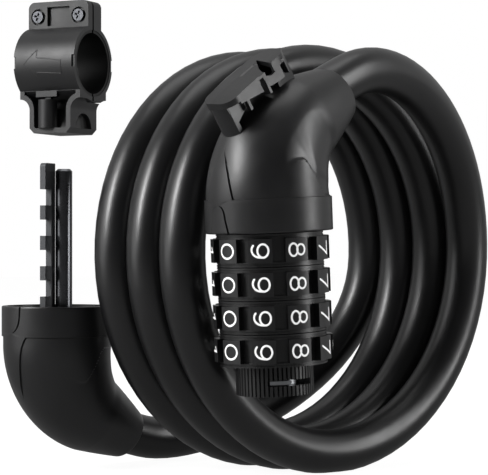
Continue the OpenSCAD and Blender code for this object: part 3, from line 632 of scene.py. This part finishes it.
def with_hollow(bm, rings, bore_r, bore_depth):
    """Closes a housing, with a round hollow in its open end."""
    rows = skin(bm, rings, capped=False)
    bm.faces.new(rows[-1])
    count = len(rows[0])
    angles = [math.atan2(v.co.y, v.co.x) for v in rows[0]]
    mouth = [bm.verts.new((bore_r * math.cos(a), bore_r * math.sin(a), 0)) for a in angles]
    inner = [bm.verts.new((bore_r * math.cos(a), bore_r * math.sin(a), bore_depth)) for a in angles]
    for j in range(count):
        k = (j + 1) % count
        bm.faces.new((rows[0][k], rows[0][j], mouth[j], mouth[k]))
        bm.faces.new((mouth[k], mouth[j], inner[j], inner[k]))
    bm.faces.new(list(reversed(inner)))


# ---------------------------------------------------------------- digits

def arc(cx, cy, rx, ry, start, end, count=20):
    return [(cx + rx * math.cos(math.radians(start + (end - start) * i / count)),
             cy + ry * math.sin(math.radians(start + (end - start) * i / count)))
            for i in range(count + 1)]


def digit_strokes():
    """Strokes of each digit in a box of height 2 and width about 1.6, as lists of points."""
    nine = [arc(0, 0.32, 0.74, 0.62, 0, 360, 32),
            [(0.74, 0.32), (0.74, 0.1)] + arc(-0.1, -0.02, 0.82, 0.94, 2, -128, 22)]
    return {
        0: [arc(0, 0, 0.8, 0.94, 0, 360, 40)],
        1: [[(-0.38, 0.62), (0.1, 0.94), (0.1, -0.94)]],
        2: [arc(0, 0.36, 0.66, 0.58, 160, -28, 22) + [(-0.66, -0.94), (0.7, -0.94)]],
        3: [arc(-0.05, 0.44, 0.6, 0.5, 150, -90, 20), arc(-0.05, -0.46, 0.7, 0.48, 90, -150, 24)],
        4: [[(0.32, -0.94), (0.32, 0.94), (-0.74, -0.42), (0.74, -0.42)]],
        5: [[(0.56, 0.94), (-0.46, 0.94), (-0.56, 0.08)] + arc(-0.04, -0.34, 0.7, 0.6, 125, -145, 26)],
        6: [[(-x, -y) for x, y in stroke] for stroke in nine],
        7: [[(-0.68, 0.9), (0.68, 0.9), (-0.26, -0.94)]],
        8: [arc(0, 0.46, 0.58, 0.48, 0, 360, 32), arc(0, -0.46, 0.7, 0.5, 0, 360, 32)],
        9: nine,
    }


def finely(points, closed, step):
    """Adds points to a stroke, so that its straight runs can follow the dial's curve."""
    ends = list(zip(points, points[1:] + (points[:1] if closed else [])))
    if not closed:
        ends = ends[:len(points) - 1]
    finer = []
    for (x0, y0), (x1, y1) in ends:
        count = max(1, math.ceil(math.hypot(x1 - x0, y1 - y0) / step))
        finer += [(x0 + (x1 - x0) * i / count, y0 + (y1 - y0) * i / count) for i in range(count)]
    return finer if closed else finer + [points[-1]]


def stroke_rings(points, width, thickness, closed):
    """Flat rounded rings along a stroke in the plane, as (across, up, out)."""
    rings = []
    count = len(points)
    for i, (x, y) in enumerate(points):
        before = points[i - 1] if i or closed else points[i]
        after = points[(i + 1) % count] if i < count - 1 or closed else points[i]
        way = Vector((after[0] - before[0], after[1] - before[1])).normalized()
        if 0 < i < count - 1 or closed:
            first = Vector((x - before[0], y - before[1])).normalized()
            stretch = 1 / max(0.45, abs(first.dot(way)))
        else:
            stretch = 1.0
        normal = Vector((-way.y, way.x)) * stretch
        rings.append((Vector((x, y)), way, normal))
    shapes = []

    def ring(centre, normal, share):
        out = []
        for j in range(10):
            a = 2 * math.pi * j / 10
            p = centre + normal * (width / 2 * share * math.cos(a))
            out.append((p.x, p.y, thickness * math.sin(a) * (0.3 + 0.7 * share)))
        return out

    if not closed:
        centre, way, normal = rings[0]
        for t in (1.0, 0.85, 0.5):
            shapes.append(ring(centre - way * width / 2 * t, normal, math.sqrt(1 - t * t) + 0.02))
    for centre, way, normal in rings:
        shapes.append(ring(centre, normal, 1.0))
    if not closed:
        centre, way, normal = rings[-1]
        for t in (0.5, 0.85, 1.0):
            shapes.append(ring(centre + way * width / 2 * t, normal, math.sqrt(1 - t * t) + 0.02))
    return shapes


# ---------------------------------------------------------------- operators

class COILLOCK_OT_camera(bpy.types.Operator):
    """Set up the camera"""

    bl_idname = "coillock.camera"
    bl_label = "Camera"

    def execute(self, context):
        look = LOOK.normalized()
        right = look.cross(Vector((0, 0, 1))).normalized()
        up = right.cross(look)
        data = bpy.data.cameras.new("camera")
        data.sensor_fit = "HORIZONTAL"
        data.sensor_width = 36.0
        data.lens = data.sensor_width * 1911.0 / 488.0
        data.clip_start, data.clip_end = 0.01, 30.0
        camera = bpy.data.objects.new("camera", data)
        turn = Matrix((right, up, -look)).transposed().to_4x4()
        camera.matrix_world = Matrix.Translation(Vector((-327.7, -340.8, -42.4)) * MM) @ turn
        context.scene.collection.objects.link(camera)
        context.scene.camera = camera
        return {"FINISHED"}


class COILLOCK_OT_cable(bpy.types.Operator):
    """Build the coiled vinyl jacket and the steel rope in it"""

    bl_idname = "coillock.cable"
    bl_label = "Coiled Cable"

    def execute(self, context):
        settings = context.scene.lock_cable
        route = cable_route(settings, JACKET_INSET)
        radius = settings.diameter / 2 / MM
        bm = bmesh.new()
        skin(bm, tube_rings(route, lambda a, along: radius, 40))
        jacket = piece_from("vinyl_jacket", bm, Matrix.Scale(MM, 4), "lock", soft_vinyl(), 60)
        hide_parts("cable_jacket")
        core_route = cable_route(settings, ROPE_INSET, 48, 18)
        rope_r = settings.rope / 2 / MM
        lay_mm = 40.0

        def strands(a, along):
            turn = a - 2 * math.pi * along / lay_mm
            return rope_r * (0.9 + 0.1 * abs(math.cos(3 * turn)))

        bm = bmesh.new()
        skin(bm, tube_rings(core_route, strands, 24))
        rope = piece_from("wire_rope", bm, Matrix.Scale(MM, 4), "lock", rope_steel(), 60)
        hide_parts("cable_core")
        return {"FINISHED"}


class COILLOCK_OT_dial_head(bpy.types.Operator):
    """Build the bent housing above the dials"""

    bl_idname = "coillock.dial_head"
    bl_label = "Dial Head Housing"

    def execute(self, context):
        heads = context.scene.lock_heads
        wall = heads.collar / 2 / MM
        form = HousingForm(
            wall, band=COLLAR_H, bend_at=COLLAR_H, nose=7.8, mark_at=5.5,
            mark=((0.0, 11.8), (3.3, 8.3), (5.0, 7.2), (5.7, 6.3), (6.2, 5.2), (6.6, 3.9),
                  (6.9, 2.2), (7.02, 0.5)),
            tongue=((8.5, 18.2), (9.0, 17.3), (10.6, 14.3), (12.3, 10.8), (13.6, 7.2),
                    (14.8, 3.6), (15.7, 0.7)),
            scoop_depth=0.75, groove_side=-1, far_groove=0.15, swelling=0.9)
        bm = bmesh.new()
        with_hollow(bm, housing_mesh(form), 6.35, 7.05)
        shell = piece_from("dial_head_shell", bm, IN_DIAL_HEAD, "lock", moulded_abs(), 32)
        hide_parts("lock_housing")
        return {"FINISHED"}


LUG_HALF_L, LUG_HALF_W, LUG_THICK, LUG_CORNER = 12.7, 5.2, 1.6, 3.6
# Distance across the lug of the crease in its top
LUG_CREASE = 1.4
ALONG_LUG = Matrix.Rotation(math.pi / 2, 4, "X")


def lug_half_width(x):
    """Half width of the lug's plate: round corners at one end, tapered sides at the other."""
    if x < -LUG_HALF_L + LUG_CORNER:
        reach = -LUG_HALF_L + LUG_CORNER - x
        return LUG_HALF_W - LUG_CORNER + math.sqrt(max(0.0, LUG_CORNER ** 2 - reach ** 2))
    return LUG_HALF_W - 2.8 * max(0.0, (x - LUG_HALF_L + 3.4) / 3.4)


def lug_top(x, y):
    """Height of the plate's top: a crease along it, a slope to the near side and a low, round end."""
    slope = 0.6 * max(0.0, (LUG_CREASE - y) / 6.6) * smooth_step(5.4, 4.9, x)
    tread = 0.2 * smooth_step(-0.5, -0.3, x) * smooth_step(5.4, 4.9, x) * smooth_step(LUG_CREASE, 0.6, y)
    end = 0.45 * max(0.0, (-5.5 - x) / 7.2) ** 2
    return 0.75 - (slope + tread + end)


def loose_block(bm):
    """Turns a mesh into an object for joining or cutting."""
    bmesh.ops.recalc_face_normals(bm, faces=bm.faces)
    mesh = bpy.data.meshes.new("block")
    bm.to_mesh(mesh)
    bm.free()
    block = bpy.data.objects.new("block", mesh)
    bpy.context.scene.collection.objects.link(block)
    return block


def prism(outline, low, high, turn=None):
    """Raises a flat outline into a loose solid, then turns it."""
    bm = bmesh.new()
    skin(bm, [[(x, y, z) for x, y in outline] for z in (low, high)])
    if turn:
        bm.transform(turn)
    return loose_block(bm)


def lug_wall(near, far, outline):
    """A flat piece drawn along the lug and down from its plate, between two distances across it."""
    return prism(outline, -far, -near, ALONG_LUG)


def combined(base, others, operation):
    """Joins or cuts a piece with others, and removes them."""
    for other in others:
        tool = base.modifiers.new(operation.lower(), "BOOLEAN")
        tool.operation = operation
        tool.solver = "EXACT"
        tool.object = other
    bpy.context.view_layer.update()
    applied(base)
    for other in others:
        bpy.data.objects.remove(other)
    return base


def lug_plate():
    """The plate with its shaped top."""
    columns = 18
    stations = [-LUG_HALF_L + LUG_CORNER * (1 - math.cos(math.radians(6 * i))) for i in range(16)]
    stations += [-LUG_HALF_L + LUG_CORNER + 0.55 * i for i in range(1, 15)]
    stations += [-0.55, -0.5, -0.4, -0.3, -0.25] + [0.3 + 0.6 * i for i in range(8)]
    stations += [4.85, 5.0, 5.15, 5.3, 5.45, 6.5, 8.0, LUG_HALF_L - 3, 11.0, LUG_HALF_L]
    rings = []
    for x in sorted(stations):
        half = lug_half_width(x)
        sides = [half * (2 * i / columns - 1) for i in range(columns + 1)]
        crease = [LUG_CREASE, 1.0, 0.6] if half > 1.5 else [0.3, 0.2, 0.1]
        sides = sorted([y for y in sides if abs(y - LUG_CREASE) > 0.15] + crease)
        rings.append([(x, y, lug_top(x, y)) for y in sides]
                     + [(x, y, -LUG_THICK) for y in reversed(sides)])
    bm = bmesh.new()
    longest = max(len(ring) for ring in rings)
    for ring in rings:
        while len(ring) < longest:
            ring.insert(1, tuple((a + b) / 2 for a, b in zip(ring[0], ring[1])))
    skin(bm, rings)
    return loose_block(bm)


class COILLOCK_OT_carrying_lug(bpy.types.Operator):
    """Build the lug that slides into the bracket"""

    bl_idname = "coillock.carrying_lug"
    bl_label = "Carrying Lug"

    def execute(self, context):
        core, wall, skirt, drop = 3.64, 1.2, 4.6, 14.0
        near, end = -LUG_HALF_W + 0.03, LUG_HALF_L - 0.05
        bend = [i / 8 - 1 for i in range(17)]
        front = [(-LUG_HALF_L + 0.05 + 1.1 * t * t, 0.5 + 3.1 * t) for t in bend]
        back = [(-LUG_HALF_L + wall + 1.2 * t * t, 0.5 + 3.1 * t) for t in reversed(bend)]
        foot = prism(front + back, -drop, -0.8)
        sides = [(5.3, near), (end - 3.3, near), (end, near + 2.8),
                 (end, -near - 2.8), (end - 3.3, -near), (5.3, -near)]
        joined = [
            foot,
            prism(sides, -skirt, -0.4),
            prism([(5.8, -core), (end - 0.1, -core + 1), (end - 0.1, core - 1), (5.8, core)], -drop, -1.0),
            prism([(0.95, near + 0.1), (1.75, near + 0.1), (1.75, core), (0.95, core)], -5.6, -0.8),
            prism([(-6.4, -core - 0.6), (-5.6, -core - 0.6), (-5.6, -core + 0.6), (-6.4, -core + 0.6)],
                  -5.8, -1.0),
        ]
        gusset = [(-12.0, -0.6), (-6.0, -0.6), (-6.0, -5.0), (-11.3, -7.2)]
        skirting = [(-9.1, -0.9), (-0.9, -0.9), (-0.9, -3.9), (-6.3, -2.8), (-9.1, -2.3)]
        joined += [lug_wall(-2.5, -1.6, gusset), lug_wall(2.6, 3.5, gusset),
                   lug_wall(near, near + 0.88, skirting), lug_wall(-near - 0.88, -near, skirting)]
        lug = combined(lug_plate(), joined, "UNION")
        combined(lug, [
            prism([(1.9, -7), (4.9, -7), (5.1, -4.9), (7.2, 1.5), (6.9, 1.5), (3.5, -2.0), (1.9, -4.4)],
                  -4.0, 1.5),
            prism([(2.6, -3.9), (9.0, -3.9), (9.0, 3.2), (6.4, 2.4), (2.6, -2.6)], -4.0, -0.55),
            prism([(-0.75, -7), (0.75, -7), (0.75, -core), (-0.75, -core)], -skirt - 2, -0.75),
            prism([(7.5, -7), (9.3, -7), (9.3, -core), (7.5, -core)], -skirt - 1, -1.3),
        ], "DIFFERENCE")
        rail = [(0.95, -0.9), (2.3, -1.3), (3.4, -1.9), (5.4, -1.9), (5.4, -skirt + 0.02), (0.95, -3.8)]
        combined(lug, [lug_wall(near, near + 0.9, rail)], "UNION")
        bm = bmesh.new()
        bm.from_mesh(lug.data)
        bpy.data.objects.remove(lug)
        lug = piece_from("carrying_lug", bm, ON_LUG, "lock", moulded_abs())
        soft_edges(lug, 0.13, flatten=False)
        return {"FINISHED"}


class COILLOCK_OT_dials(bpy.types.Operator):
    """Finish the four dials and paint their digits"""

    bl_idname = "coillock.dials"
    bl_label = "Number Dials"

    def execute(self, context):
        heads = context.scene.lock_heads
        radius = heads.dial / 2 / MM + 0.012
        size = heads.digit / 2 / MM
        strokes = digit_strokes()
        for k in range(1, 5):
            dress(f"dial_{k}", dial_abs(), 0.14)
            dress(f"clutch_ring_{k}", plain_brass(), 0.1)
            middle = -DIAL_GAP - DIAL_H / 2 - (k - 1) * DIAL_PITCH
            bm = bmesh.new()
            for digit in range(10):
                at = math.radians(180 - 36 * digit)
                for stroke in strokes[digit]:
                    closed = stroke[0] == stroke[-1] or math.dist(stroke[0], stroke[-1]) < 1e-6
                    points = [(x * size, y * size) for x, y in (stroke[:-1] if closed else stroke)]
                    points = finely(points, closed, 0.22)
                    shapes = stroke_rings(points, 0.5, 0.03, closed)
                    rings = [[(
                        (radius + out) * math.cos(at + up / radius),
                        (radius + out) * math.sin(at + up / radius),
                        middle - across) for across, up, out in ring] for ring in shapes]
                    skin(bm, rings, closed=closed)
            piece_from(f"digits_{k}", bm, IN_DIAL_HEAD, f"dial_{k}", white_enamel(), 60)
        return {"FINISHED"}


class COILLOCK_OT_spindle(bpy.types.Operator):
    """Finish the spindle, the detents and the reset ring"""

    bl_idname = "coillock.spindle"
    bl_label = "Spindle and Reset Ring"

    def execute(self, context):
        dress("spindle", turned_steel(), 0.12)
        dress("detent_balls", bright_steel())
        dress("detent_springs", bright_steel())
        dress("wave_spring", bright_steel(), 0.1)
        dress("retaining_clip", bright_steel(), 0.1)
        dress("reset_ring", dial_abs(), 0.08)
        dress("reset_key", turned_steel(), 0.08)
        dress("lock_ferrule", bright_steel(), 0.2)
        return {"FINISHED"}


class COILLOCK_OT_bolt_head(bpy.types.Operator):
    """Build the bent housing of the bolt head"""

    bl_idname = "coillock.bolt_head"
    bl_label = "Bolt Head Housing"

    def execute(self, context):
        heads = context.scene.lock_heads
        wall = heads.rim / 2 / MM
        form = HousingForm(
            wall, band=8.3, bend_at=RIM_H, nose=7.1, mark_at=-3.5,
            mark=((0.0, 13.2), (3.5, 12.2), (5.0, 10.6), (6.0, 8.2), (6.6, 5.8), (7.0, 3.2), (7.15, 0.5)),
            tongue=((8.3, 21.5), (8.9, 19.5), (10.9, 15.8), (13.0, 12.6), (15.8, 9.2),
                    (18.0, 5.0), (20.0, 0.7)),
            scoop_depth=0.5, groove_side=1, far_groove=0.0)
        bm = bmesh.new()
        with_hollow(bm, housing_mesh(form), 13.7, 9.5)
        shell = piece_from("bolt_head_shell", bm, IN_BOLT_HEAD, "lock", moulded_abs(), 32)
        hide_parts("bolt_housing")
        dress("cup_plate", moulded_abs(), 0.15)
        dress("bolt_ferrule", bright_steel(), 0.2)
        return {"FINISHED"}


class COILLOCK_OT_bolt(bpy.types.Operator):
    """Finish the round bolt and the toothed bar"""

    bl_idname = "coillock.bolt"
    bl_label = "Bolt and Toothed Bar"

    def execute(self, context):
        dress("bolt_rod", dark_bolt_steel(), 0.2)
        dress("bolt_bar", dark_cast_steel(), 0.16)
        return {"FINISHED"}


class COILLOCK_OT_bracket(bpy.types.Operator):
    """Finish the frame bracket and its screws"""

    bl_idname = "coillock.bracket"
    bl_label = "Frame Bracket"

    def execute(self, context):
        dress("bracket_front_jaw", bracket_nylon(), 0.22)
        dress("bracket_rear_jaw", bracket_nylon(), 0.22)
        dress("front_liner", liner_rubber(), 0.15)
        dress("rear_liner", liner_rubber(), 0.15)
        for node in ("clamp_screw_left", "clamp_screw_right"):
            dress(node, blackened_screw(), 0.1)
        dress("clamp_nuts", bright_steel(), 0.1)

        # The ring's groove is filled flush with a face that stops short of both its ends
        ring_r, face_l = 11.85, 10.15
        bm = bmesh.new()
        turns = [math.radians(-9.4 + 18.8 * i / 12) for i in range(13)]
        skin(bm, [[(-r * math.cos(a), y, r * math.sin(a))
                   for r, way in ((ring_r + 0.012, 1), (ring_r - 0.7, -1))
                   for a in turns[::way]] for y in (-face_l, face_l)])
        piece_from("ring_face", bm, IN_BRACKET, "bracket", bracket_nylon())

        # A raised outline of an arrow shows which way the lock slides in
        arrow = [(2.7, 3.95), (7.5, -0.8), (2.6, -4.6), (2.6, -3.3), (-6.2, -4.0), (-6.2, 0.3), (2.7, 1.4)]
        bm = bmesh.new()
        lifted = ring_r + 0.02
        rings = []
        for ring in stroke_rings(finely(arrow, True, 0.5), 0.32, 0.07, True):
            rings.append([(-(lifted + out) * math.cos(z / ring_r), y, (lifted + out) * math.sin(z / ring_r))
                          for y, z, out in ring])
        skin(bm, rings, closed=True)
        piece_from("ring_arrow", bm, IN_BRACKET, "bracket", bracket_nylon(), 50)
        return {"FINISHED"}


def seen_directly(tree):
    """The kinds of ray, and 1 for those that come from the camera or through glass."""
    path = add_node(tree, "ShaderNodeLightPath")
    seen = add_node(tree, "ShaderNodeMath", {"operation": "MAXIMUM"}, links={
        0: path.outputs["Is Camera Ray"], 1: path.outputs["Is Transmission Ray"]})
    return path, seen


def pale_stage(name, colour, glow, gloss):
    """A matt pale surface: plain white to the camera, and a softer white in reflections."""
    material = bpy.data.materials.new(name)
    material.use_nodes = True
    tree = material.node_tree
    tree.nodes.clear()
    path, seen = seen_directly(tree)
    share = add_node(tree, "ShaderNodeMath", {"operation": "MULTIPLY"}, {1: glow}, {0: seen.outputs[0]})
    share = add_node(tree, "ShaderNodeMath", {"operation": "MULTIPLY_ADD"}, {1: gloss}, {
        0: path.outputs["Is Glossy Ray"], 2: share.outputs[0]})
    tone = add_node(tree, "ShaderNodeMix", {"data_type": "RGBA"}, {
        "A": (*colour, 1), "B": (*(c * gloss for c in colour), 1)}, {"Factor": path.outputs["Is Glossy Ray"]})
    matt = add_node(tree, "ShaderNodeBsdfDiffuse", links={"Color": tone.outputs["Result"]})
    bright = add_node(tree, "ShaderNodeEmission", values={"Color": (*colour, 1), "Strength": 1.12})
    mix = add_node(tree, "ShaderNodeMixShader", links={
        0: share.outputs[0], 1: matt.outputs[0], 2: bright.outputs[0]})
    add_node(tree, "ShaderNodeOutputMaterial", links={"Surface": mix.outputs[0]})
    return material


class COILLOCK_OT_stage(bpy.types.Operator):
    """Build the floor, the backdrop and the lamps"""

    bl_idname = "coillock.stage"
    bl_label = "Stage and Lamps"

    def execute(self, context):
        settings = context.scene.lock_stage
        white = tuple(settings.floor_colour)
        low = CAD_BOX[0][2]
        bm = bmesh.new()
        for corner in ((-3, -3), (3, -3), (3, 3), (-3, 3)):
            bm.verts.new((*corner, low - 0.0002))
        bm.faces.new(bm.verts)
        mesh = bpy.data.meshes.new("floor")
        bm.to_mesh(mesh)
        bm.free()
        mesh.materials.append(pale_stage("pale_floor", white, 0.85, 0.15))
        floor = bpy.data.objects.new("floor", mesh)
        context.scene.collection.objects.link(floor)

        look = Vector((LOOK.x, LOOK.y, 0)).normalized()
        right = Vector((look.y, -look.x, 0))
        up = Vector((0, 0, 1))
        target = Vector((0.03, 0.05, -0.04))

        def lamp(name, way, distance, size, power):
            data = bpy.data.lights.new(name, "AREA")
            data.shape = "RECTANGLE"
            data.size, data.size_y = size
            data.energy = power
            lamp_object = bpy.data.objects.new(name, data)
            way = way.normalized()
            lamp_object.location = target + way * distance
            lamp_object.rotation_euler = way.to_track_quat("Z", "Y").to_euler()
            context.scene.collection.objects.link(lamp_object)

        lamp("left_lamp", -right * 1.0 - look * 0.25 + up * 0.35, 0.9, (0.5, 0.9), settings.side_power)
        lamp("right_lamp", right * 1.0 - look * 0.2 + up * 0.2, 0.9, (0.22, 0.9), settings.side_power * 2.1)
        lamp("key_lamp", Vector((-0.83, 0.22, 0.48)), 0.9, (0.13, 0.42), settings.key_power)
        lamp("top_lamp", up * 1.0 + look * 0.1, 0.9, (0.7, 0.5), settings.top_power)

        world = bpy.data.worlds.new("pale_room")
        world.use_nodes = True
        tree = world.node_tree
        tree.nodes.clear()
        path, seen = seen_directly(tree)
        way = add_node(tree, "ShaderNodeTexCoord")
        ahead = add_node(tree, "ShaderNodeVectorMath", {"operation": "DOT_PRODUCT"},
                         {1: look}, {0: way.outputs["Generated"]})
        room = add_node(tree, "ShaderNodeMapRange", {"interpolation_type": "SMOOTHSTEP"}, {
            "From Min": -0.6, "From Max": 0.35, "To Min": 0.01, "To Max": 0.45},
            {"Value": ahead.outputs["Value"]})
        light = add_node(tree, "ShaderNodeBackground", values={"Color": (1, 1, 1, 1)},
                         links={"Strength": room.outputs["Result"]})
        backdrop = add_node(tree, "ShaderNodeBackground", values={"Color": (*white, 1), "Strength": 1.0})
        share = add_node(tree, "ShaderNodeMath", {"operation": "MULTIPLY_ADD"}, {1: 0.04}, {
            0: path.outputs["Is Glossy Ray"], 2: seen.outputs[0]})
        mix = add_node(tree, "ShaderNodeMixShader", links={
            0: share.outputs[0], 1: light.outputs[0], 2: backdrop.outputs[0]})
        add_node(tree, "ShaderNodeOutputWorld", links={"Surface": mix.outputs[0]})
        context.scene.world = world
        context.scene.view_settings.view_transform = "Standard"
        return {"FINISHED"}


BUILDERS = (
    COILLOCK_OT_camera, COILLOCK_OT_cable, COILLOCK_OT_dial_head, COILLOCK_OT_carrying_lug,
    COILLOCK_OT_dials, COILLOCK_OT_spindle, COILLOCK_OT_bolt_head, COILLOCK_OT_bolt,
    COILLOCK_OT_bracket, COILLOCK_OT_stage,
)


class COILLOCK_PT_panel(bpy.types.Panel):
    """Sizes, colours and builders of the cable lock"""

    bl_idname = "COILLOCK_PT_panel"
    bl_label = "Cable Lock"
    bl_space_type = "VIEW_3D"
    bl_region_type = "UI"
    bl_category = "Cable Lock"

    def draw(self, context):
        for group in (context.scene.lock_cable, context.scene.lock_heads, context.scene.lock_stage):
            box = self.layout.box()
            for name in group.__annotations__:
                box.prop(group, name)
        for builder in BUILDERS:
            self.layout.operator(builder.bl_idname)


CLASSES = (CableSettings, HeadSettings, StageSettings, *BUILDERS, COILLOCK_PT_panel)


def register():
    for made in CLASSES:
        bpy.utils.register_class(made)
    bpy.types.Scene.lock_cable = bpy.props.PointerProperty(type=CableSettings)
    bpy.types.Scene.lock_heads = bpy.props.PointerProperty(type=HeadSettings)
    bpy.types.Scene.lock_stage = bpy.props.PointerProperty(type=StageSettings)


def unregister():
    del bpy.types.Scene.lock_stage
    del bpy.types.Scene.lock_heads
    del bpy.types.Scene.lock_cable
    for made in reversed(CLASSES):
        bpy.utils.unregister_class(made)


def main():
    register()
    for builder in BUILDERS:
        group, name = builder.bl_idname.split(".")
        getattr(getattr(bpy.ops, group), name)()


if __name__ == "__main__":
    main()
